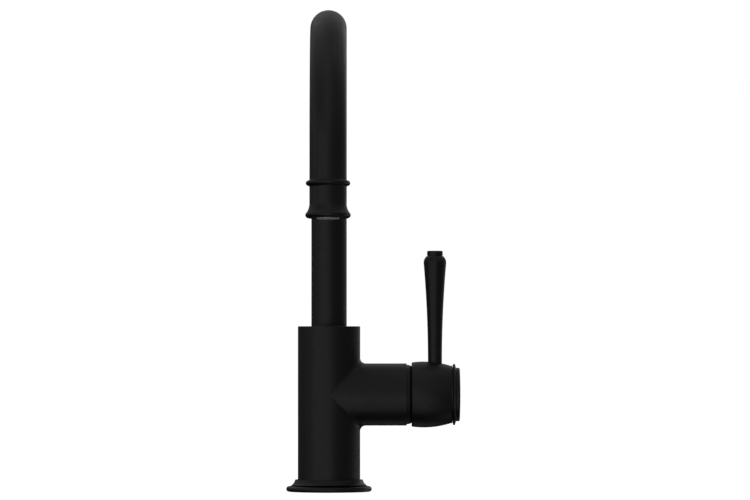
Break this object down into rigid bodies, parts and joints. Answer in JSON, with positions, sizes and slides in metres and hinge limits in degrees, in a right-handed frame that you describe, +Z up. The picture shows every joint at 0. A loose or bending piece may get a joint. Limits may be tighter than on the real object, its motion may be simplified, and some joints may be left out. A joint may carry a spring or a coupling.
{
  "type": "gooseneck basin mixer",
  "caption": "Single-lever deck-mounted basin mixer: swivelling gooseneck spout, side arm with a ceramic cartridge, barrel hub and upright tapered lever, satin-matt black.",
  "frame": {"origin": "on the deck, under the column's axis, in the plane of the base flange's underside", "axes": "+Z up along the column; +X along the side arm to the handle; the spout reaches towards -Y"},
  "size_m": [0.1257, 0.2269, 0.3419],
  "materials": {
    "body_black": "satin-matt black coating on cast brass",
    "spout_black": "satin-matt black coating on brass tube",
    "handle_black": "satin-matt black coating on die-cast metal",
    "brass": "turned, bare",
    "steel": "bare stainless",
    "rubber": "matt",
    "slide_plastic": "natural white",
    "cage_plastic": "black",
    "insert_plastic": "light grey",
    "cartridge_plastic": "off-white",
    "ceramic": "lapped"
  },
  "bodies": {
    "base": {"mixer_body": "body_black", "base_flange": "body_black", "base_gasket": "rubber", "spout_thrust_washer": "slide_plastic", "spout_retaining_screw": "steel", "cartridge_base": "cartridge_plastic", "cartridge_seals": "rubber", "fixed_disc": "ceramic", "cartridge_housing": "cartridge_plastic", "cartridge_nut": "brass", "arm_trim_ring": "handle_black"},
    "spout": {"spout_tube": "spout_black", "spout_shank": "brass", "spout_bearing_rings": "slide_plastic", "spout_o_rings": "rubber", "spout_nozzle": "spout_black", "aerator_housing": "cage_plastic", "aerator_insert": "insert_plastic", "aerator_washer": "rubber"},
    "lever_guide": {"cartridge_rotor": "cartridge_plastic", "pivot_pin": "steel"},
    "mixing_disc": {"moving_disc": "ceramic", "disc_carrier": "cartridge_plastic"},
    "handle": {"lever_stem": "brass", "handle_hub": "handle_black", "hub_ring": "handle_black", "hub_cap": "handle_black", "handle_screw": "steel", "lever_grip": "handle_black", "lever_stud": "steel", "lever_finial": "handle_black"}
  },
  "joints": [
    {"name": "spout_swivel", "type": "hinge", "parent": "base", "child": "spout", "pos_m": [0, 0, 0.1], "axis": [0, 0, 1], "continuous": true},
    {"name": "temperature_turn", "type": "hinge", "parent": "base", "child": "lever_guide", "pos_m": [0.0495, 0, 0.07003], "axis": [1, 0, 0], "range_deg": [-45, 45]},
    {"name": "flow_tilt", "type": "hinge", "parent": "lever_guide", "child": "handle", "pos_m": [0.0495, 0, 0.07003], "axis": [0, 1, 0], "range_deg": [0, 20]},
    {"name": "disc_slide", "type": "slide", "parent": "lever_guide", "child": "mixing_disc", "axis": [0, 0, 1], "range_m": [0, 0.0034]}
  ],
  "couplings": [
    {"joint": "disc_slide", "follows": "flow_tilt", "m_per_rad": 0.00947}
  ]
}
